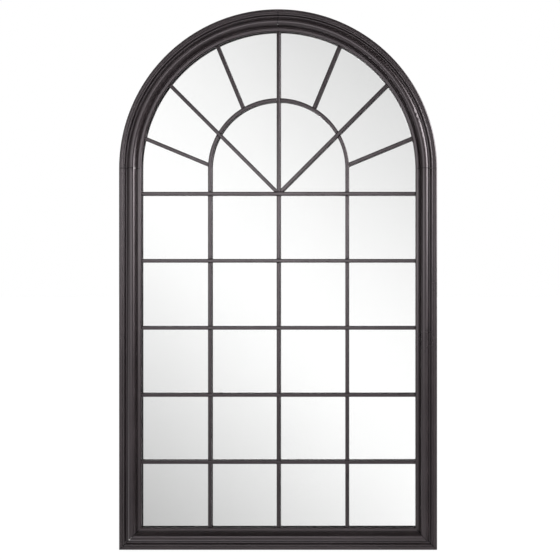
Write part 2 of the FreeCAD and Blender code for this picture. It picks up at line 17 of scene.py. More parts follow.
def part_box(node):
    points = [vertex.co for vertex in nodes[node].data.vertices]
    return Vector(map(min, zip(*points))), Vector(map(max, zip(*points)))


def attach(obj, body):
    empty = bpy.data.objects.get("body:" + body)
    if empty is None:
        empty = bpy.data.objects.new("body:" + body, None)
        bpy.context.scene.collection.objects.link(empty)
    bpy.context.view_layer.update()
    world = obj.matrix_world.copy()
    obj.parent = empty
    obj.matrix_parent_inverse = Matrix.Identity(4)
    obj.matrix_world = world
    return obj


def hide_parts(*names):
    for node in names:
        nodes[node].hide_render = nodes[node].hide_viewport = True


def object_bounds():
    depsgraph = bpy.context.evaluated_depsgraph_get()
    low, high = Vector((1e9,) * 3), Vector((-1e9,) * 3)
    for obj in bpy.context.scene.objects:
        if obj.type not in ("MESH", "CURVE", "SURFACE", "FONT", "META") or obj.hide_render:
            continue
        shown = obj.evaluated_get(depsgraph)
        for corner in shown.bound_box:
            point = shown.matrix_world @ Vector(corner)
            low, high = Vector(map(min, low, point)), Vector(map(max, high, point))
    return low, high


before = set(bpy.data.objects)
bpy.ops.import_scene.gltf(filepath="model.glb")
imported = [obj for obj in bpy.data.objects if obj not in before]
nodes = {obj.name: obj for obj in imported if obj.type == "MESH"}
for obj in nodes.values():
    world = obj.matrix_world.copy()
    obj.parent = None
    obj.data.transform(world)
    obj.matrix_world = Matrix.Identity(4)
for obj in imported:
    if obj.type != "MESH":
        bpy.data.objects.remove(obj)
cad_box = [list(corner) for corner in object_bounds()]
MM = 0.001

# %% [markdown]
# ## Places on the object
# A maker measures from the piece itself. The springline is where the straight stiles end, the lip is
# the inner edge of the frame, and the bars' centre lines come from the bars. Each value here is read
# from a node's box, so a change in the CAD model carries through to the pieces that are made from it.

# %% Places read from the nodes
def middle(node):
    low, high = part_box(node)
    return (low + high) / 2


SPRING_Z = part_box("left_stile")[1].z
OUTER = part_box("right_stile")[1].x
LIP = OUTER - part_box("base_rail")[1].z
LIP_FOOT_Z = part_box("base_rail")[1].z
BAR_FRONT_Y, BAR_BACK_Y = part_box("hub_rail")[0].y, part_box("hub_rail")[1].y
BAR_HALF = (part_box("hub_rail")[1].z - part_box("hub_rail")[0].z) / 2
ROW_Z = [middle("row_bar_%d" % row).z for row in (1, 2, 3, 4)]
HUB_Z = middle("hub_rail").z
MULLION_X = middle("right_mullion").x
HOOP_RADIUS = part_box("fan_hoop")[1].x - BAR_HALF
print("springline %.3f, lip %.3f, hub %.3f, hoop %.4f" % (SPRING_Z, LIP, HUB_Z, HOOP_RADIUS))

# %% [markdown]
# ## A helper for node trees
# Every finish here is built from nodes. One small function adds a node, sets its options and feeds
# its inputs with a value or with another node's output, so that a finish reads like a recipe.

# %% Node helper
def put(tree, kind, feeds=(), **options):
    node = tree.nodes.new(kind)
    for key, value in options.items():
        setattr(node, key, value)
    for key, value in dict(feeds).items():
        if isinstance(value, bpy.types.NodeSocket):
            tree.links.new(value, node.inputs[key])
        else:
            node.inputs[key].default_value = value
    return node


def effect_group(name, inputs, outputs):
    """An empty shader group with named sockets, and its input and output nodes."""
    group = bpy.data.node_groups.new(name, "ShaderNodeTree")
    for socket, kind, value in inputs:
        made = group.interface.new_socket(socket, in_out="INPUT", socket_type="NodeSocket" + kind)
        made.default_value = value
    for socket, kind in outputs:
        group.interface.new_socket(socket, in_out="OUTPUT", socket_type="NodeSocket" + kind)
    return group, put(group, "NodeGroupInput").outputs, put(group, "NodeGroupOutput").inputs


def place_group(tree, group, **values):
    """The group as a node of a material, with its own values."""
    node = put(tree, "ShaderNodeGroup", node_tree=group)
    for key, value in values.items():
        node.inputs[key.replace("_", " ")].default_value = value
    return node.outputs


print("node helpers ready")

# %% [markdown]
# ## Effect: drifting tone
# No sprayed or pressed surface is one colour. A mix of broad and fine noise moves between a darker
# and a lighter colour. The mask comes out as well, so that gloss can drift with the colour.

# %% Drifting tone group
SPECK_FINENESS = 24.0
NOISE_LOW, NOISE_HIGH = 0.3, 0.7
tone_drift, ins, outs = effect_group(
    "drifting tone",
    [("Dark", "Color", (0.1, 0.1, 0.1, 1)), ("Light", "Color", (0.2, 0.2, 0.2, 1)),
     ("Scale", "Float", 8.0), ("Speckle", "Float", 0.3)],
    [("Color", "Color"), ("Mask", "Float")])
spot = put(tone_drift, "ShaderNodeTexCoord").outputs["Object"]
broad = put(tone_drift, "ShaderNodeTexNoise", {"Vector": spot, "Scale": ins["Scale"], "Detail": 3.0})
finer = put(tone_drift, "ShaderNodeMath", {0: ins["Scale"], 1: SPECK_FINENESS}, operation="MULTIPLY")
speck = put(tone_drift, "ShaderNodeTexNoise", {"Vector": spot, "Scale": finer.outputs[0], "Detail": 2.0})
blend = put(tone_drift, "ShaderNodeMix", {0: ins["Speckle"], 2: broad.outputs[0], 3: speck.outputs[0]})
mask = put(tone_drift, "ShaderNodeMapRange", {0: blend.outputs[0], 1: NOISE_LOW, 2: NOISE_HIGH})
mixed = put(tone_drift, "ShaderNodeMix", {0: mask.outputs[0], 6: ins["Dark"], 7: ins["Light"]},
            data_type="RGBA")
tone_drift.links.new(mixed.outputs[2], outs["Color"])
tone_drift.links.new(mask.outputs[0], outs["Mask"])
print("group:", tone_drift.name)

# %% [markdown]
# ## Effect: edge wear and painted highlight
# Paint is thinnest on a bend, and hands and cloths rub there first. The lighter colour that this
# mask brings is partly that wear and partly a painted highlight along the bends. The Bevel node gives
# the normal as if the edge were round; where that turns away from the true normal there is an edge.
# Noise breaks the line up, because wear is never even.

# %% Worn edge group
EDGE_FROM, EDGE_FULL = 0.99, 0.8
PATCH_FROM, PATCH_FULL = 0.42, 0.62
wear_and_highlight_edges, ins, outs = effect_group(
    "worn edges",
    [("Radius", "Float", 0.001), ("Amount", "Float", 0.5), ("Breakup", "Float", 60.0)],
    [("Mask", "Float")])
spot = put(wear_and_highlight_edges, "ShaderNodeTexCoord").outputs["Object"]
round_normal = put(wear_and_highlight_edges, "ShaderNodeBevel", {"Radius": ins["Radius"]}, samples=4)
true_normal = put(wear_and_highlight_edges, "ShaderNodeNewGeometry").outputs["True Normal"]
turn = put(wear_and_highlight_edges, "ShaderNodeVectorMath", {0: round_normal.outputs[0], 1: true_normal},
           operation="DOT_PRODUCT")
edge = put(wear_and_highlight_edges, "ShaderNodeMapRange", {0: turn.outputs["Value"], 1: EDGE_FROM, 2: EDGE_FULL})
wear_and_highlight_patches = put(wear_and_highlight_edges, "ShaderNodeTexNoise", {"Vector": spot, "Scale": ins["Breakup"], "Detail": 4.0})
patchy = put(wear_and_highlight_edges, "ShaderNodeMapRange", {0: wear_and_highlight_patches.outputs[0], 1: PATCH_FROM, 2: PATCH_FULL})
both = put(wear_and_highlight_edges, "ShaderNodeMath", {0: edge.outputs[0], 1: patchy.outputs[0]}, operation="MULTIPLY")
edge_wear_and_highlight = put(wear_and_highlight_edges, "ShaderNodeMath", {0: both.outputs[0], 1: ins["Amount"]}, operation="MULTIPLY")
# The mask marks wear on the edges and a painted highlight on the bends together.
wear_and_highlight_edges.links.new(edge_wear_and_highlight.outputs[0], outs["Mask"])
print("group:", wear_and_highlight_edges.name)

# %% [markdown]
# ## Effect: settled dust
# Whatever faces up gathers dust. The world normal's upward part, broken up by noise, is the mask.

# %% Settled dust group
LEVEL_FROM, LEVEL_FULL = 0.6, 1.0
DUST_DRIFT = 35.0
settled_dust, ins, outs = effect_group(
    "settled dust", [("Amount", "Float", 0.3)], [("Mask", "Float")])
normal = put(settled_dust, "ShaderNodeNewGeometry").outputs["Normal"]
upward = put(settled_dust, "ShaderNodeSeparateXYZ", {0: normal})
facing = put(settled_dust, "ShaderNodeMapRange", {0: upward.outputs["Z"], 1: LEVEL_FROM, 2: LEVEL_FULL})
spot = put(settled_dust, "ShaderNodeTexCoord").outputs["Object"]
drift = put(settled_dust, "ShaderNodeTexNoise", {"Vector": spot, "Scale": DUST_DRIFT, "Detail": 5.0})
lying = put(settled_dust, "ShaderNodeMath", {0: facing.outputs[0], 1: drift.outputs[0]},
            operation="MULTIPLY")
dust = put(settled_dust, "ShaderNodeMath", {0: lying.outputs[0], 1: ins["Amount"]}, operation="MULTIPLY")
settled_dust.links.new(dust.outputs[0], outs["Mask"])
print("group:", settled_dust.name)

# %% [markdown]
# ## Effect: skin of a coating
# Sprayed enamel dries with a fine orange peel, over long waves that the rolls left in the steel.
# Both are heights for a Bump node: a little of each bends the highlights so that they look drawn
# by hand and not by ruler.

# %% Coating skin group
coating_skin, ins, outs = effect_group(
    "coating skin",
    [("Peel Scale", "Float", 700.0), ("Wave Scale", "Float", 14.0), ("Wave Share", "Float", 0.8)],
    [("Height", "Float")])
spot = put(coating_skin, "ShaderNodeTexCoord").outputs["Object"]
peel = put(coating_skin, "ShaderNodeTexNoise", {"Vector": spot, "Scale": ins["Peel Scale"], "Detail": 2.0})
wave = put(coating_skin, "ShaderNodeTexNoise", {"Vector": spot, "Scale": ins["Wave Scale"], "Detail": 1.0})
skin = put(coating_skin, "ShaderNodeMix", {0: ins["Wave Share"], 2: peel.outputs[0], 3: wave.outputs[0]})
coating_skin.links.new(skin.outputs[0], outs["Height"])
print("group:", coating_skin.name)

# %% [markdown]
# ## The dark bronze enamel
# The frame and the bars have the same brown-black enamel. It is nearly black, with a warm grey drift,
# and satin: gloss carries most of what the eye sees. The edges are lighter and warmer, partly a
# thinner coat from wear and partly a painted highlight on the bends, and a thin clear lacquer on top
# sharpens the highlights on the bends. Wet enamel also flows round every arris. A Bevel node bends
# the normal there, wider on the bars than on the frame, so that the bars look softly rounded and
# their meshes keep their true section.

# %% Material helpers
def new_material(name):
    """A material with its node tree and its Principled shader."""
    material = bpy.data.materials.new(name)
    material.use_nodes = True
    return material, material.node_tree, material.node_tree.nodes["Principled BSDF"]


def feed(tree, shader, **sockets):
    """Values or other nodes' outputs for a shader's named sockets."""
    for key, value in sockets.items():
        socket = shader.inputs[key.replace("_", " ")]
        if isinstance(value, bpy.types.NodeSocket):
            tree.links.new(value, socket)
        else:
            socket.default_value = value


def mix_colour(tree, mask, first, second):
    return put(tree, "ShaderNodeMix", {0: mask, 6: first, 7: second}, data_type="RGBA").outputs[2]


def spread(tree, mask, low, high):
    """A mask from 0 to 1, spread between two values."""
    return put(tree, "ShaderNodeMapRange", {0: mask, 3: low, 4: high}).outputs[0]


def bump(tree, height, distance, normal=None):
    """A bump of that depth in metres, over the piece's own normal or over a given one."""
    node = put(tree, "ShaderNodeBump", {"Height": height, "Distance": distance, "Strength": 1.0})
    if normal:
        tree.links.new(normal, node.inputs["Normal"])
    return node.outputs[0]


print("material helpers ready")

# %% Bronze enamel
ENAMEL_SHEEN = (1.0, 0.87, 0.94, 1)
PALE_DUST = (0.32, 0.3, 0.28, 1)
ENAMEL_SKIN_DEPTH = 0.3 * MM


def bronze_enamel(name, dark, light, edge_wear_and_highlight, roughness, lacquer, edge_round):
    material, tree, shader = new_material(name)
    tone = place_group(tree, tone_drift, Dark=dark, Light=light, Scale=7.0, Speckle=0.12)
    edges = place_group(tree, wear_and_highlight_edges, Radius=0.0012, Amount=0.55)
    dusty = place_group(tree, settled_dust, Amount=0.05)
    skin = place_group(tree, coating_skin, Peel_Scale=650.0, Wave_Scale=16.0, Wave_Share=0.95)
    flow = put(tree, "ShaderNodeBevel", {"Radius": edge_round}, samples=6)
    # Painted highlight: the edge colour stands partly for wear and partly for light on the bends.
    wear_and_highlight_patches = mix_colour(tree, edges["Mask"], tone["Color"], edge_wear_and_highlight)
    colour = mix_colour(tree, dusty["Mask"], wear_and_highlight_patches, PALE_DUST)
    feed(tree, shader, Base_Color=colour, Roughness=spread(tree, tone["Mask"], *roughness),
         Normal=bump(tree, skin["Height"], ENAMEL_SKIN_DEPTH, flow.outputs[0]),
         Specular_IOR_Level=0.38, Specular_Tint=ENAMEL_SHEEN,
         Coat_Weight=lacquer, Coat_Roughness=0.14, Coat_Normal=flow.outputs[0])
    return material


# The edge colours are lighter and warmer: wear together with a painted highlight on the bends.
frame_paint = bronze_enamel(
    "frame enamel", dark=(0.0125, 0.0096, 0.0101, 1), light=(0.022, 0.0171, 0.018, 1),
    edge_wear_and_highlight=(0.06, 0.044, 0.04, 1), roughness=(0.26, 0.36), lacquer=0.15, edge_round=0.0012)
bar_paint = bronze_enamel(
    "bar enamel", dark=(0.014, 0.0113, 0.0118, 1), light=(0.024, 0.0195, 0.0203, 1),
    edge_wear_and_highlight=(0.06, 0.046, 0.04, 1), roughness=(0.26, 0.36), lacquer=0.12, edge_round=0.0055)
print("enamels:", frame_paint.name, bar_paint.name)

# %% [markdown]
# ## Chipped seam
# A joint that was ground back after welding holds paint badly. The seam is duller and darker than
# the moulding, so it breaks the long highlights, and here and there a chip shows the bright weld. One
# noise with a steep step makes few, small chips, and the same mask turns them from paint to metal.

# %% Chipped seam
CHIP_FROM, CHIP_FULL = 0.62, 0.67
CHIP_SCALE = 110.0
BARE_WELD = (0.62, 0.6, 0.58, 1)
seam_paint, tree, shader = new_material("chipped seam")
tone = place_group(tree, tone_drift, Dark=(0.006, 0.005, 0.0052, 1), Light=(0.014, 0.0112, 0.0118, 1),
                   Scale=20.0)
spot = put(tree, "ShaderNodeTexCoord").outputs["Object"]
grain = put(tree, "ShaderNodeTexNoise", {"Vector": spot, "Scale": CHIP_SCALE, "Detail": 2.0})
chip = put(tree, "ShaderNodeMapRange", {0: grain.outputs[0], 1: CHIP_FROM, 2: CHIP_FULL}).outputs[0]
feed(tree, shader, Base_Color=mix_colour(tree, chip, tone["Color"], BARE_WELD), Metallic=chip,
     Roughness=spread(tree, chip, 0.6, 0.3), Specular_IOR_Level=0.12)
print("seam finish:", seam_paint.name)

# %% [markdown]
# ## Float glass and silver
# A mirror is two things: a clear sheet and a film of silver behind it. Making both puts the picture
# in the mirror one glass thickness behind the bars, which is the fine dark line beside each bar of
# the real one. A single shiny plate would lose that line. The glass keeps a plain transmission, and
# only its faint green tint drifts.

# %% Glass and silver finishes
glass, tree, shader = new_material("float glass")
tint = place_group(tree, tone_drift, Dark=(0.994, 0.998, 0.995, 1), Light=(0.997, 1.0, 0.998, 1),
                   Scale=3.0)
feed(tree, shader, Base_Color=tint["Color"], Roughness=0.0, IOR=1.52, Transmission_Weight=1.0)

silver, tree, shader = new_material("silver film")
cloud = place_group(tree, tone_drift, Dark=(0.966, 0.964, 0.965, 1), Light=(0.982, 0.98, 0.981, 1),
                    Scale=4.0)
feed(tree, shader, Base_Color=cloud["Color"], Metallic=1.0,
     Roughness=spread(tree, cloud["Mask"], 0.0, 0.012))
print("mirror finishes:", glass.name, silver.name)

# %% [markdown]
# ## Board, foam and rubber
# The back board is pressed wood fibre: brown, flecked, with the fine screen pattern that the press
# leaves on its rough side. Two crossed waves draw the screen, and the fibre's own mask breaks it up.
# Foam and rubber are black and matt, with fine cells or a moulded skin.

# %% Board finish
SCREEN_SCALE = 110.0
FIBRE_SHARE = 0.45
BOARD_DUST = (0.4, 0.36, 0.32, 1)
SCREEN_DEPTH = 0.4 * MM
hardboard, tree, shader = new_material("pressed board")
fibre = place_group(tree, tone_drift, Dark=(0.105, 0.058, 0.03, 1), Light=(0.235, 0.142, 0.08, 1),
                    Scale=5.0, Speckle=0.62)
dusty = place_group(tree, settled_dust, Amount=0.5)
spot = put(tree, "ShaderNodeTexCoord").outputs["Object"]
screen_x = put(tree, "ShaderNodeTexWave", {"Vector": spot, "Scale": SCREEN_SCALE}, bands_direction="X")
screen_z = put(tree, "ShaderNodeTexWave", {"Vector": spot, "Scale": SCREEN_SCALE}, bands_direction="Z")
screen = put(tree, "ShaderNodeMath", {0: screen_x.outputs[1], 1: screen_z.outputs[1]},
             operation="MULTIPLY")
felt = put(tree, "ShaderNodeMix", {0: FIBRE_SHARE, 2: screen.outputs[0], 3: fibre["Mask"]})
feed(tree, shader, Base_Color=mix_colour(tree, dusty["Mask"], fibre["Color"], BOARD_DUST),
     Roughness=spread(tree, fibre["Mask"], 0.72, 0.9), Normal=bump(tree, felt.outputs[0], SCREEN_DEPTH))
print("board finish:", hardboard.name)

# %% Foam and rubber finishes
SOOT = (0.012, 0.012, 0.013, 1)


def soft_black(name, light, cells, depth):
    material, tree, shader = new_material(name)
    tone = place_group(tree, tone_drift, Dark=SOOT, Light=light, Scale=30.0, Speckle=0.5)
    skin = place_group(tree, coating_skin, Peel_Scale=cells, Wave_Scale=60.0, Wave_Share=0.2)
    feed(tree, shader, Base_Color=tone["Color"], Roughness=spread(tree, tone["Mask"], 0.75, 0.92),
         Normal=bump(tree, skin["Height"], depth))
    return material


gasket_foam = soft_black("closed-cell foam", (0.03, 0.03, 0.032, 1), cells=1400.0, depth=0.5 * MM)
pad_rubber = soft_black("setting rubber", (0.045, 0.044, 0.044, 1), cells=500.0, depth=0.2 * MM)
print("soft finishes:", gasket_foam.name, pad_rubber.name)

# %% [markdown]
# ## Plated steel
# The plates, buttons, rings and screws are zinc plated. Plating is never one grey: it clouds, it
# yellows a little, and stamping leaves fine lines along the strip. The lines stretch a noise along
# one axis, and they drive both the gloss and a very shallow bump.

# %% Plated steel finishes
BRIGHT_STEEL = (0.78, 0.77, 0.75, 1)
STREAK_SCALE = 40.0
STREAK_DEPTH = 0.08 * MM


def plated_steel(name, dark, light, roughness, lines):
    material, tree, shader = new_material(name)
    tone = place_group(tree, tone_drift, Dark=dark, Light=light, Scale=55.0, Speckle=0.4)
    edges = place_group(tree, wear_and_highlight_edges, Radius=0.0006, Amount=0.7, Breakup=180.0)
    spot = put(tree, "ShaderNodeTexCoord").outputs["Object"]
    drawn = put(tree, "ShaderNodeMapping", {"Vector": spot, "Scale": lines})
    streaks = put(tree, "ShaderNodeTexNoise",
                  {"Vector": drawn.outputs[0], "Scale": STREAK_SCALE, "Detail": 3.0}).outputs[0]
    colour = mix_colour(tree, edges["Mask"], tone["Color"], BRIGHT_STEEL)
    feed(tree, shader, Base_Color=colour, Metallic=1.0, Normal=bump(tree, streaks, STREAK_DEPTH),
         Roughness=spread(tree, streaks, *roughness))
    return material


zinc_plate = plated_steel(
    "zinc plate", dark=(0.29, 0.29, 0.285, 1), light=(0.46, 0.455, 0.435, 1),
    roughness=(0.28, 0.5), lines=(30, 30, 1.5))
button_steel = plated_steel(
    "button steel", dark=(0.35, 0.335, 0.3, 1), light=(0.52, 0.5, 0.445, 1),
    roughness=(0.2, 0.42), lines=(2, 30, 30))
ring_wire = plated_steel(
    "ring wire", dark=(0.42, 0.42, 0.412, 1), light=(0.6, 0.592, 0.576, 1),
    roughness=(0.14, 0.3), lines=(3, 30, 30))
screw_steel = plated_steel(
    "screw steel", dark=(0.36, 0.35, 0.32, 1), light=(0.6, 0.58, 0.52, 1),
    roughness=(0.22, 0.45), lines=(20, 3, 20))
print("metals:", zinc_plate.name, button_steel.name, ring_wire.name, screw_steel.name)

# %% [markdown]
# ## Finishes on the CAD pieces
# The record names a finish slot for each node, so one table is enough. Flat stock also loses its
# razor edges: the vertices that the file format split are welded again, and a small bevel gives each
# edge something to catch the light with.

# %% Put the finishes on the CAD pieces
finishes = {
    "frame_paint": frame_paint, "bar_paint": bar_paint, "gasket_foam": gasket_foam,
    "pad_rubber": pad_rubber, "hardboard": hardboard, "zinc_plate": zinc_plate,
    "button_steel": button_steel, "ring_wire": ring_wire,
}
SOFTENED = {"bar_paint": 0.2 * MM, "zinc_plate": 0.3 * MM, "button_steel": 0.3 * MM}
SPLIT_WIDTH = 0.002 * MM
SHARP_TURN = math.radians(35)
softened = 0
for piece in nodes.values():
    slot = piece.data.materials[0].name
    if slot in finishes:
        piece.data.materials[0] = finishes[slot]
    if slot in SOFTENED:
        joined = piece.modifiers.new("joined", "WELD")
        joined.merge_threshold = SPLIT_WIDTH
        eased = piece.modifiers.new("eased", "BEVEL")
        eased.width = SOFTENED[slot]
        eased.segments = 2
        eased.limit_method = "ANGLE"
        eased.angle_limit = SHARP_TURN
        softened += 1
print("finished nodes:", len(nodes), "softened:", softened)

# %% [markdown]
# ## A piece from a mesh
# Every new piece follows the same three steps: its mesh becomes an object, it rides on the body that
# carries it, and it takes its finish. Keeping them in one function means that none of them is
# forgotten. Most meshes here are stacks of rings, so two more helpers join one ring to the next and
# close the ends.

# %% Piece helpers
def bridge(mesh, rings):
    """Side faces between neighbouring rings of equal counts."""
    for near, far in zip(rings, rings[1:]):
        for i in range(len(near)):
            j = (i + 1) % len(near)
            mesh.faces.new((near[i], near[j], far[j], far[i]))


def close_stack(mesh, rings):
    """A closed form from a stack of rings: its sides and both ends."""
    bridge(mesh, rings)
    mesh.faces.new(rings[0])
    mesh.faces.new(rings[-1][::-1])


def make_piece(name, mesh, material, replaced=(), smooth=True):
    """An object of a finished bmesh that rides on the frame."""
    bmesh.ops.recalc_face_normals(mesh, faces=mesh.faces)
    data = bpy.data.meshes.new(name)
    mesh.to_mesh(data)
    mesh.free()
    data.materials.append(material)
    for face in data.polygons:
        face.use_smooth = smooth
    piece = bpy.data.objects.new(name, data)
    bpy.context.scene.collection.objects.link(piece)
    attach(piece, "frame")
    if replaced:
        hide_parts(*replaced)
    print("piece:", name, len(data.vertices), "vertices")


print("piece helpers ready")

# %% [markdown]
# ## The mirror sheet
# The sheet follows the arch of the frame, so its outline is three straight sides and a half circle.
# The glass has ground edges, a narrow bevel all round; the silver lies behind it as a film with a
# hair of air between, because two faces in one place would flicker.

# %% Mirror sheet
ARC_STEPS = 120
GROUND_EDGE = 0.6 * MM
FILM = 0.05 * MM


def arched_outline(inset):
    """Points (x, z) of the sheet's outline, from the left foot round to the right."""
    half = glass_high.x - inset
    foot = glass_low.z + inset
    arc = [math.pi - math.pi * step / ARC_STEPS for step in range(ARC_STEPS + 1)]
    return ([(-half, foot)] + [(half * math.cos(a), SPRING_Z + half * math.sin(a)) for a in arc]
            + [(half, foot)])


def arched_slab(layers):
    """Closed slab from outlines (inset, y), front to back."""
    mesh = bmesh.new()
    rings = [[mesh.verts.new((x, y, z)) for x, z in arched_outline(inset)] for inset, y in layers]
    close_stack(mesh, rings)
    return mesh


glass_low, glass_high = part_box("mirror_glass")
glass_back_y = glass_high.y - 2 * FILM
pane = arched_slab([
    (GROUND_EDGE, glass_low.y), (0, glass_low.y + GROUND_EDGE),
    (0, glass_back_y - GROUND_EDGE), (GROUND_EDGE, glass_back_y)])
make_piece("mirror_pane", pane, glass, ["mirror_glass"], smooth=False)
film = arched_slab([(GROUND_EDGE, glass_high.y - FILM), (GROUND_EDGE, glass_high.y)])
make_piece("silver_film", film, silver, ["mirror_glass"], smooth=False)

# %% [markdown]
# ## Welds in the grille
# The bars are welded where they cross and where they end, and the enamel fills what is left of the
# corner. Each weld is a small hollow-faced fillet in an inside corner. Every corner lies where the
# sides of two bars meet, and each side is a line or a circle, so a short walk from the crossing along
# both sides finds it, and no list of coordinates is needed. Only the spokes' angles repeat the CAD.

# %% Sides of the bars
class Straight:
    """A straight bar or wall: a point on its line, a direction and half its width."""

    def __init__(self, x, z, angle, half=BAR_HALF):
        self.point = Vector((x, z))
        self.along = Vector((math.sin(math.radians(angle)), math.cos(math.radians(angle))))
        self.half = half

    def away(self, spot):
        """Signed distance from the centre line, and the direction in which it grows."""
        across = Vector((self.along.y, -self.along.x))
        return (spot - self.point).dot(across), across


class Round:
    """A bar or wall bent to a circle round the arch's centre."""

    def __init__(self, radius, half=BAR_HALF):
        self.radius = radius
        self.half = half

    def away(self, spot):
        reach = spot - Vector((0, SPRING_Z))
        return reach.length - self.radius, reach.normalized()


WALK = 12


def side_corner(first, second, side_a, side_b, start):
    """Where one side of the first bar meets one side of the second, near a start."""
    spot = Vector(start)
    for step in range(WALK):
        gap_a, across_a = first.away(spot)
        gap_b, across_b = second.away(spot)
        turn = across_a.x * across_b.y - across_a.y * across_b.x
        need_a = side_a * first.half - gap_a
        need_b = side_b * second.half - gap_b
        spot += Vector((need_a * across_b.y - need_b * across_a.y,
                        need_b * across_a.x - need_a * across_b.x)) / turn
    return spot


print("corner finder ready")

# %% The crossings of the grille
SPOKE_ANGLES = {"long": 45.0, "upper": 22.5, "lower": 67.5}
post = Straight(0, HUB_Z, 0)
rows = [Straight(0, z, 90) for z in ROW_Z + [HUB_Z]]
hub = rows[-1]
hoop = Round(HOOP_RADIUS)
lip_arch = Round(LIP, 0)
lip_foot = Straight(0, LIP_FOOT_Z, 90, 0)
crossings = []
for side in (-1, 1):
    mullion = Straight(side * MULLION_X, HUB_Z, 0)
    lip_side = Straight(side * LIP, HUB_Z, 0, 0)
    for row in rows:
        crossings.append((row, lip_side, (side * LIP, row.point.y), (-side,)))
    for row in rows[:-1]:
        crossings.append((row, mullion, (side * MULLION_X, row.point.y), (-1, 1)))
    crossings.append((mullion, lip_foot, (side * MULLION_X, LIP_FOOT_Z), (-1,)))
    crossings.append((mullion, hub, (side * MULLION_X, HUB_Z), (-1, 1)))
    for kind, angle in SPOKE_ANGLES.items():
        spoke = Straight(0, HUB_Z, side * angle)
        lean = math.radians(angle)
        drop = HUB_Z - SPRING_Z
        for wall, sides in ((lip_arch, (-1,)), (hoop, (-1, 1) if kind == "long" else (1,))):
            reach = -drop * math.cos(lean) + math.sqrt(wall.radius ** 2 - (drop * math.sin(lean)) ** 2)
            at = (side * reach * math.sin(lean), HUB_Z + reach * math.cos(lean))
            if at[1] > SPRING_Z:
                crossings.append((spoke, wall, at, sides))
            else:
                leg_at = (side * MULLION_X, HUB_Z + MULLION_X / math.tan(lean))
                crossings.append((spoke, mullion, leg_at, (side,)))
for row in rows:
    crossings.append((row, post, (0, row.point.y), (-1, 1)))
crossings.append((post, lip_foot, (0, LIP_FOOT_Z), (-1,)))
crossings.append((post, lip_arch, (0, SPRING_Z + LIP), (-1,)))
crossings.append((post, hoop, (0, SPRING_Z + HOOP_RADIUS), (-1, 1)))
print("crossings and ends:", len(crossings))

# %% Weld fillets
random.seed(7)
FILLET_LEG = 2.2 * MM
LEG_SPREAD = (0.75, 1.25)
ROOT_SHARE = 0.1
HOLLOW_SHARE = 0.12
FILLET_STEPS = 5
FRONT_ROUND = 1.1 * MM


def weld_fillet(mesh, corner, way_a, way_b, leg):
    """A hollow-faced fillet in an inside corner, rounded off towards the front."""
    layers = [(BAR_BACK_Y, 1.0), (BAR_FRONT_Y + 2 * FRONT_ROUND, 1.0),
              (BAR_FRONT_Y + FRONT_ROUND, 0.8), (BAR_FRONT_Y + 0.5 * FRONT_ROUND, 0.35)]
    rings = []
    for y, share in layers:
        tip_a = corner + way_a * leg * share
        tip_b = corner + way_b * leg * share
        hollow = corner + (way_a + way_b) * (HOLLOW_SHARE * leg * share)
        ring = [corner - (way_a + way_b) * (ROOT_SHARE * leg)]
        for step in range(FILLET_STEPS + 1):
            t = step / FILLET_STEPS
            ring.append(tip_a * (1 - t) ** 2 + hollow * (2 * t * (1 - t)) + tip_b * t ** 2)
        rings.append([mesh.verts.new((p.x, y, p.y)) for p in ring])
    close_stack(mesh, rings)


welds = bmesh.new()
for first, second, at, sides in crossings:
    for side_b in sides:
        for side_a in (-1, 1):
            corner = side_corner(first, second, side_a, side_b, at)
            across_a = first.away(corner)[1] * side_a
            across_b = second.away(corner)[1] * side_b
            way_a = (across_b - across_a * across_a.dot(across_b)).normalized()
            way_b = (across_a - across_b * across_a.dot(across_b)).normalized()
            weld_fillet(welds, corner, way_a, way_b, FILLET_LEG * random.uniform(*LEG_SPREAD))
make_piece("grille_welds", welds, bar_paint)

# %% [markdown]
# ## Welded seams of the frame
# The five lengths of moulding meet at two mitres, two springlines and the crown. The welder dresses
# the seams, but a low bead still shows, in the chipped finish from above. A bead could be swept along
# a drawn path, but then the path has to repeat the moulding's section. Here a strip is laid over each
# joint and dropped onto the moulding from the front, so it follows every bend by itself, and noise
# with a fixed seed makes it lumpy.

# %% Dropping points onto the frame
IN_FRONT_Y = -1.0
HAIR = 0.05 * MM


def frame_surface():
    """One search tree of the five frame lengths."""
    points, faces = [], []
    for name in ("base_rail", "left_stile", "right_stile", "left_arch", "right_arch"):
        data = nodes[name].data
        start = len(points)
        points += [vertex.co for vertex in data.vertices]
        faces += [[start + i for i in face.vertices] for face in data.polygons]
    return BVHTree.FromPolygons(points, faces)


def dropped(surface, spot):
    """Where a point dropped from the front lands on the moulding.

    One that misses, or lands behind the glass on the far wall, fell through a joint: it is dropped
    again a hair to the side.
    """
    for aside in (0.0, HAIR, -HAIR):
        start = Vector((spot.x + aside, IN_FRONT_Y, spot.y + aside))
        hit = surface.ray_cast(start, Vector((0, 1, 0)))[0]
        if hit and hit.y < glass_low.y:
            return hit.y


surface = frame_surface()
stile_y = dropped(surface, Vector((middle("right_stile").x, HUB_Z)))
print("front of the right stile's middle: y", stile_y)

# %% Frame seams
SEAM_HALF = 1.5 * MM
SEAM_CREST = 0.45 * MM
SEAM_ROOT = 0.5 * MM
SEAM_SUNK = 0.04 * MM
SEAM_SHARES = (-1.0, -0.7, -0.35, 0.0, 0.35, 0.7, 1.0)
SEAM_STEPS = 110
SEAM_RIPPLE = 340.0
LUMP_MEAN, LUMP_SWING = 0.55, 0.9
END_TAPER = 6
SEED_STEP = 3.7
EDGE_KEEP = 1.2 * MM


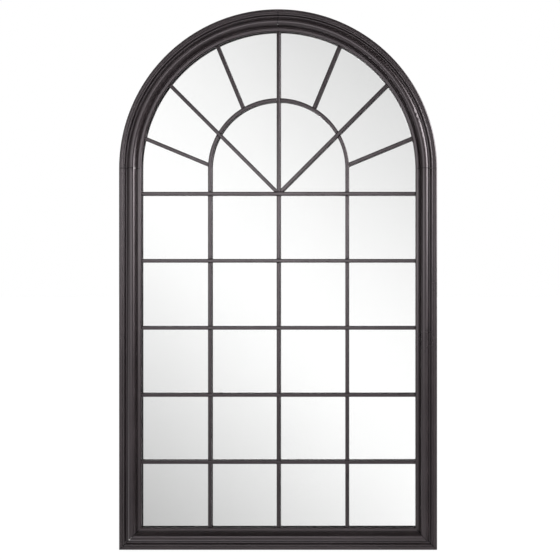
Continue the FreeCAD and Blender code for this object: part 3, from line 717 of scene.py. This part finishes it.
def seam_strip(mesh, surface, outer, inner, lump_seed):
    """A closed low bead along a joint from the outer edge to the lip."""
    run = inner - outer
    across = Vector((run.y, -run.x)).normalized() * SEAM_HALF
    tops, roots = [], []
    for step in range(SEAM_STEPS + 1):
        spot = outer + run * (step / SEAM_STEPS)
        lump = noise.noise(Vector((spot.x * SEAM_RIPPLE, spot.y * SEAM_RIPPLE, lump_seed)))
        ends = min(1.0, END_TAPER * min(step, SEAM_STEPS - step) / SEAM_STEPS)
        crest = SEAM_CREST * (LUMP_MEAN + LUMP_SWING * lump)
        top, root = [], []
        for share in SEAM_SHARES:
            p = spot + across * share
            y = dropped(surface, p)
            rise = crest * (1 - share * share) * ends - SEAM_SUNK
            top.append(mesh.verts.new((p.x, y - rise, p.y)))
            root.append(mesh.verts.new((p.x, y + SEAM_ROOT, p.y)))
        tops.append(top)
        roots.append(root)
    columns = len(SEAM_SHARES)
    for i in range(SEAM_STEPS):
        for j in range(columns - 1):
            mesh.faces.new((tops[i][j], tops[i][j + 1], tops[i + 1][j + 1], tops[i + 1][j]))
            mesh.faces.new((roots[i][j], roots[i + 1][j], roots[i + 1][j + 1], roots[i][j + 1]))
        for j in (0, columns - 1):
            mesh.faces.new((tops[i][j], tops[i + 1][j], roots[i + 1][j], roots[i][j]))
    for i in (0, SEAM_STEPS):
        for j in range(columns - 1):
            mesh.faces.new((tops[i][j], roots[i][j], roots[i][j + 1], tops[i][j + 1]))


edge, lip = OUTER - EDGE_KEEP, LIP + EDGE_KEEP
mitre_z = LIP_FOOT_Z - EDGE_KEEP
seam_lines = {
    "crown_seam": [(Vector((0, SPRING_Z + edge)), Vector((0, SPRING_Z + lip)))],
    "springline_seams": [(Vector((s * edge, SPRING_Z)), Vector((s * lip, SPRING_Z))) for s in (-1, 1)],
    "mitre_seams": [(Vector((s * edge, EDGE_KEEP)), Vector((s * lip, mitre_z))) for s in (-1, 1)],
}
for seam, lines in seam_lines.items():
    bead = bmesh.new()
    for place, (outer, inner) in enumerate(lines):
        seam_strip(bead, surface, outer, inner, SEED_STEP * place + len(seam))
    make_piece(seam, bead, seam_paint)

# %% [markdown]
# ## Pan-head screws
# CAD holds each screw as a plain turned solid. The real ones have a cross recess and a thread, so one
# screw is drawn here with both and set down at the place of each CAD screw. The head is turned from
# a profile; its flat top is filled round a cross-shaped hole, and the hole narrows to its floor. The
# thread is a stack of rings and not a true helix, which at this size nobody can tell apart.

# %% One screw
SCREW_SIDES = 28
CROSS_REACH = 1.9 * MM
CROSS_HALF = 0.42 * MM
CROSS_DEPTH = 1.3 * MM
RECESS_TAPER = 0.35
THREAD_PITCH = 1.2 * MM
THREAD_ROOT = 0.78
THREAD_END = -0.2 * MM
POINT_SHARE, TIP_SHARE, NECK_SHARE = 0.15, 0.75, 0.9
HEAD_SHAPE = ((1, 0), (1, 0.22), (0.96, 0.5), (0.84, 0.78), (0.7, 0.94), (0.6, 1))
SAME_POINT = 0.001 * MM


def solids_of(node):
    """Corner boxes of the separate solids in a CAD node."""
    mesh = bmesh.new()
    mesh.from_mesh(nodes[node].data)
    bmesh.ops.remove_doubles(mesh, verts=mesh.verts, dist=SAME_POINT)
    left = set(mesh.verts)
    boxes = []
    while left:
        walk, found = [left.pop()], []
        while walk:
            vertex = walk.pop()
            found.append(vertex.co.copy())
            near = [edge.other_vert(vertex) for edge in vertex.link_edges]
            fresh = [v for v in near if v in left]
            left.difference_update(fresh)
            walk += fresh
        boxes.append([Vector([pick(p[i] for p in found) for i in range(3)]) for pick in (min, max)])
    mesh.free()
    return sorted(boxes, key=lambda box: (round(box[0].x, 4), round(box[0].z, 4)))


def screw_profile(length, head, head_r, shank_r):
    """Radius and height from the point to the edge of the flat top; the head's seat is height 0."""
    height = -length + THREAD_PITCH
    profile = [(POINT_SHARE * shank_r, -length), (TIP_SHARE * shank_r, height)]
    while height + THREAD_PITCH < THREAD_END:
        profile.append((shank_r, height + 0.5 * THREAD_PITCH))
        profile.append((THREAD_ROOT * shank_r, height + THREAD_PITCH))
        height += THREAD_PITCH
    profile.append((NECK_SHARE * shank_r, 0))
    return profile + [(width * head_r, rise * head) for width, rise in HEAD_SHAPE]


def add_screw(mesh, place, profile, recess_turn):
    """One screw with its axis along Y and its head towards the wall."""
    def spot(x, z, height):
        return place + Vector((x, height, z))

    angles = [2 * math.pi * i / SCREW_SIDES for i in range(SCREW_SIDES)]
    rings = []
    for radius, height in profile:
        ring = [spot(radius * math.cos(a), radius * math.sin(a), height) for a in angles]
        rings.append([mesh.verts.new(at) for at in ring])
    bridge(mesh, rings)
    mesh.faces.new(rings[0])
    top = profile[-1][1]
    quarter = [(CROSS_REACH, -CROSS_HALF), (CROSS_REACH, CROSS_HALF), (CROSS_HALF, CROSS_HALF)]
    cross = []
    for turn in range(4):
        a = math.pi / 2 * turn + recess_turn
        c, s = math.cos(a), math.sin(a)
        cross += [(x * c - z * s, x * s + z * c) for x, z in quarter]
    mouth = [mesh.verts.new(spot(x, z, top)) for x, z in cross]
    bottom = [spot(RECESS_TAPER * x, RECESS_TAPER * z, top - CROSS_DEPTH) for x, z in cross]
    floor = [mesh.verts.new(at) for at in bottom]
    bridge(mesh, [mouth, floor])
    mesh.faces.new(floor)
    rim = [mesh.edges.get((ring[i], ring[(i + 1) % len(ring)])) for ring in (rings[-1], mouth)
           for i in range(len(ring))]
    bmesh.ops.triangle_fill(mesh, use_beauty=True, edges=rim)


print("screw maker ready")

# %% All screws
SHANK_R = 2.0 * MM
HEAD = 2.2 * MM
for group in ("brace_screws", "button_screws", "hanger_screws"):
    mesh = bmesh.new()
    for low, high in solids_of(group):
        seat = Vector(((low.x + high.x) / 2, high.y - HEAD, (low.z + high.z) / 2))
        profile = screw_profile(seat.y - low.y, HEAD, (high.x - low.x) / 2, SHANK_R)
        add_screw(mesh, seat, profile, random.uniform(0, math.pi / 2))
    make_piece(group + "_detailed", mesh, screw_steel, [group], smooth=False)

# %% [markdown]
# ## Floor and studio
# The mirror shows the studio, so the studio is part of the look. It starts with a pale floor that
# keeps the shadow. To the camera the floor is mixed with plain white for the most part, so that it
# runs into the white background, and the mirror looks past it to the wall.

# %% Floor
FLOOR_HALF = 30.0
FLOOR_GAP = 0.1 * MM
FLOOR_WHITE = 1.14
WHITE_SHARE = 0.8


def stage_plane(name, size, z):
    mesh = bmesh.new()
    bmesh.ops.create_grid(mesh, x_segments=2, y_segments=2, size=size)
    data = bpy.data.meshes.new(name)
    mesh.to_mesh(data)
    mesh.free()
    plane = bpy.data.objects.new(name, data)
    plane.location.z = z
    bpy.context.scene.collection.objects.link(plane)
    return plane


floor = stage_plane("floor", FLOOR_HALF, cad_box[0][2] - FLOOR_GAP)
floor.visible_glossy = False
floor.visible_transmission = False
pale, tree, shader = new_material("pale floor")
feed(tree, shader, Base_Color=(0.86, 0.86, 0.86, 1), Roughness=0.9)
white = put(tree, "ShaderNodeEmission", {"Color": (1, 1, 1, 1), "Strength": FLOOR_WHITE})
to_camera = put(tree, "ShaderNodeLightPath").outputs["Is Camera Ray"]
seen = put(tree, "ShaderNodeMath", {0: to_camera, 1: WHITE_SHARE}, operation="MULTIPLY")
both = put(tree, "ShaderNodeMixShader", {0: seen.outputs[0], 1: shader.outputs[0], 2: white.outputs[0]})
tree.links.new(both.outputs[0], tree.nodes["Material Output"].inputs["Surface"])
floor.data.materials.append(pale)
print("floor at", round(floor.location.z, 5))

# %% [markdown]
# ## Wall that the mirror shows
# The world is painted by direction instead of with a picture. A direction divided by how far it goes
# forward is a place on a wall behind the camera. That wall is a soft white which greys towards the
# lower left and the upper right. Past the part that the mirror shows from the front, four shares
# brighten its left and its foot and dim its right and its top. Behind the mirror all is white.

# %% Studio helpers
TURN_ROUND = 0.18
world = bpy.data.worlds.new("studio")
bpy.context.scene.world = world
world.use_nodes = True
world.cycles.sampling_method = "NONE"
tree = world.node_tree
tree.nodes.clear()


def combine(operation, a, b):
    return put(tree, "ShaderNodeMath", {0: a, 1: b}, operation=operation).outputs[0]


def sums(first, *terms):
    """A first value plus each further value times its factor."""
    total = first
    for value, factor in terms:
        node = put(tree, "ShaderNodeMath", {0: value, 1: factor, 2: total}, operation="MULTIPLY_ADD")
        total = node.outputs[0]
    return total


def soft_least(a, b):
    """The lesser of two values, with a rounded turn between them."""
    return put(tree, "ShaderNodeMath", {0: a, 1: b, 2: TURN_ROUND}, operation="SMOOTH_MIN").outputs[0]


def ramp(value, start, end, low, high, kind="LINEAR"):
    """Low up to the start, high from the end on."""
    return put(tree, "ShaderNodeMapRange", {0: value, 1: start, 2: end, 3: low, 4: high},
               interpolation_type=kind).outputs[0]


def either(mask, first, second):
    """The first value where the mask is 0, the second where it is 1."""
    return put(tree, "ShaderNodeMix", {0: mask, 2: first, 3: second}).outputs[0]


print("studio helpers ready")

# %% Studio wall
LEAST_AHEAD = 0.02
LOWER_LEFT = (1.36, 1.02, 1.1)
UPPER_RIGHT = (0.985, -0.72, -0.8)
WALL_WHITE = 1.06
FAR_WALL = 0.4
BEHIND_FULL = 0.2
direction = put(tree, "ShaderNodeTexCoord").outputs["Generated"]
way = put(tree, "ShaderNodeSeparateXYZ", {0: direction}).outputs
forward = combine("MULTIPLY", way["Y"], -1.0)
ahead = combine("MAXIMUM", forward, LEAST_AHEAD)
aside = combine("DIVIDE", way["X"], ahead)
above = combine("DIVIDE", way["Z"], ahead)
fade_low = sums(LOWER_LEFT[0], (aside, LOWER_LEFT[1]), (above, LOWER_LEFT[2]))
fade_high = sums(UPPER_RIGHT[0], (aside, UPPER_RIGHT[1]), (above, UPPER_RIGHT[2]))
wall = combine("MAXIMUM", soft_least(soft_least(fade_low, fade_high), WALL_WHITE), FAR_WALL)
FAR_SHARES = ((aside, -0.45, -1.0, 2.8), (aside, 0.12, 0.8, 0.5),
              (above, -0.45, -1.1, 1.7), (above, 0.45, 0.8, 0.2))
for value, near, far, share in FAR_SHARES:
    wall = combine("MULTIPLY", wall, ramp(value, near, far, 1.0, share))
behind = ramp(way["Y"], 0.0, BEHIND_FULL, 0.0, 1.0)
room = either(behind, wall, 1.0)
print("wall with far shares:", len(FAR_SHARES))

# %% [markdown]
# ## Lights that only the gloss sees
# The long highlights on the frame come from lights that the mirror itself must not show. So the gloss
# gets a room of its own: the same wall with a dimmer top, and three soft-edged lights, in front, to
# the right and on the floor.

# %% Lights for the gloss
TOP_FROM, TOP_FULL, TOP_SHARE = 0.12, 0.4, 0.15
FRONT_GLOW = 9.5
RIGHT_GLOW = 19.0
FLOOR_GLOW = 0.8
FLOOR_GLOW_CENTRE = -0.12
GLOW_CORE = 0.3


def soft_step(value, start, end, low, high):
    return ramp(value, start, end, low, high, "SMOOTHERSTEP")


def off_centre(value, centre):
    difference = combine("SUBTRACT", value, centre)
    return put(tree, "ShaderNodeMath", {0: difference}, operation="ABSOLUTE").outputs[0]


def glow(strength, centre, half_width, foot, top):
    """A soft-edged light: its place and width round the room in radians, its foot and its top."""
    across = soft_step(off_centre(turn, centre), GLOW_CORE * half_width, half_width, strength, 0.0)
    from_foot = soft_step(way["Z"], *foot, 0.0, 1.0)
    to_top = soft_step(way["Z"], *top, 1.0, 0.0)
    return combine("MULTIPLY", across, combine("MULTIPLY", from_foot, to_top))


turn = combine("ARCTAN2", way["X"], forward)
front_glow = glow(FRONT_GLOW, centre=-0.19, half_width=0.3, foot=(-0.24, 0.24), top=(0.1, 0.3))
right_glow = glow(RIGHT_GLOW, centre=1.3, half_width=0.72, foot=(-0.12, 0.28), top=(0.42, 0.8))
floor_glow = combine("MULTIPLY", soft_step(above, -0.3, -0.75, 0.0, FLOOR_GLOW),
                     soft_step(off_centre(aside, FLOOR_GLOW_CENTRE), 0.2, 0.45, 1.0, 0.0))
dim_wall = combine("MULTIPLY", wall, ramp(above, TOP_FROM, TOP_FULL, 1.0, TOP_SHARE))
in_gloss = either(behind, dim_wall, 1.0)
for light in (front_glow, right_glow, floor_glow):
    in_gloss = combine("ADD", in_gloss, light)
print("gloss lights:", FRONT_GLOW, RIGHT_GLOW, FLOOR_GLOW)

# %% [markdown]
# ## What each ray sees
# A ray that went through the glass or left a perfectly smooth face sees the wall. Any other glossy
# ray sees the room of the gloss. The camera sees plain white, and diffuse light gets an even fill.

# %% Rays
FILL = 0.55
path = put(tree, "ShaderNodeLightPath").outputs
polished = combine("MAXIMUM", path["Is Transmission Ray"], path["Is Singular Ray"])
mirrored = either(polished, in_gloss, room)
reflected = combine("MAXIMUM", path["Is Glossy Ray"], path["Is Transmission Ray"])
level = either(reflected, FILL, mirrored)
shown = either(path["Is Camera Ray"], level, 1.0)
sky = put(tree, "ShaderNodeBackground", {"Color": (1, 1, 1, 1), "Strength": shown})
put(tree, "ShaderNodeOutputWorld", {"Surface": sky.outputs[0]})
print("studio ready, fill", FILL, "nodes", len(tree.nodes))

# %% [markdown]
# ## Lamps
# Two softboxes, left and right of the camera, light the paint. They are hidden from the camera, from
# the gloss and from rays that leave the glass, because each would show as a hard white rectangle.
# What shines is drawn by the studio's own soft lights instead.

# %% Lamps
LIT_SPOT = (0, 0, 1.2)


def softbox(name, place, width, height, power):
    lamp = bpy.data.lights.new(name, "AREA")
    lamp.shape = "RECTANGLE"
    lamp.size, lamp.size_y = width, height
    lamp.energy = power
    holder = bpy.data.objects.new(name, lamp)
    holder.location = place
    holder.rotation_euler = (Vector(LIT_SPOT) - Vector(place)).to_track_quat("-Z", "Y").to_euler()
    holder.visible_camera = False
    holder.visible_glossy = False
    holder.visible_transmission = False
    bpy.context.scene.collection.objects.link(holder)


softbox("left_softbox", place=(-2.6, -2.2, 1.95), width=0.9, height=1.5, power=20)
softbox("right_softbox", place=(2.7, -1.3, 2.0), width=1.0, height=1.6, power=40)

# %% [markdown]
# ## Camera
# The photograph is square on, so no line converges, yet it shows the right-hand side of every bar:
# the camera stood to the right of the mirror and its lens was shifted to centre the picture. The
# field of view follows from the picture's width at the frame, and the shift from the camera's place.
# The real camera stood further off and further right. This one stands nearer, because every other
# view keeps the shift.

# %% Camera
DISTANCE = 2.0
ASIDE = 0.36
PICTURE_WIDTH = 1.7576
PICTURE_CENTRE = Vector((0.0066, 0, 0.8486))
SENSOR = 36.0
lens = bpy.data.cameras.new("camera")
lens.sensor_fit = "HORIZONTAL"
lens.sensor_width = SENSOR
lens.lens = SENSOR * DISTANCE / PICTURE_WIDTH
lens.shift_x = (PICTURE_CENTRE.x - ASIDE) / PICTURE_WIDTH
camera = bpy.data.objects.new("camera", lens)
band_front_y = -cad_box[1][1]
camera.location = (ASIDE, band_front_y - DISTANCE, PICTURE_CENTRE.z)
camera.rotation_euler = (math.pi / 2, 0, 0)
bpy.context.scene.collection.objects.link(camera)
bpy.context.scene.camera = camera
bpy.context.scene.view_settings.view_transform = "Standard"
print("lens %.1f mm, shift %.3f" % (lens.lens, lens.shift_x))
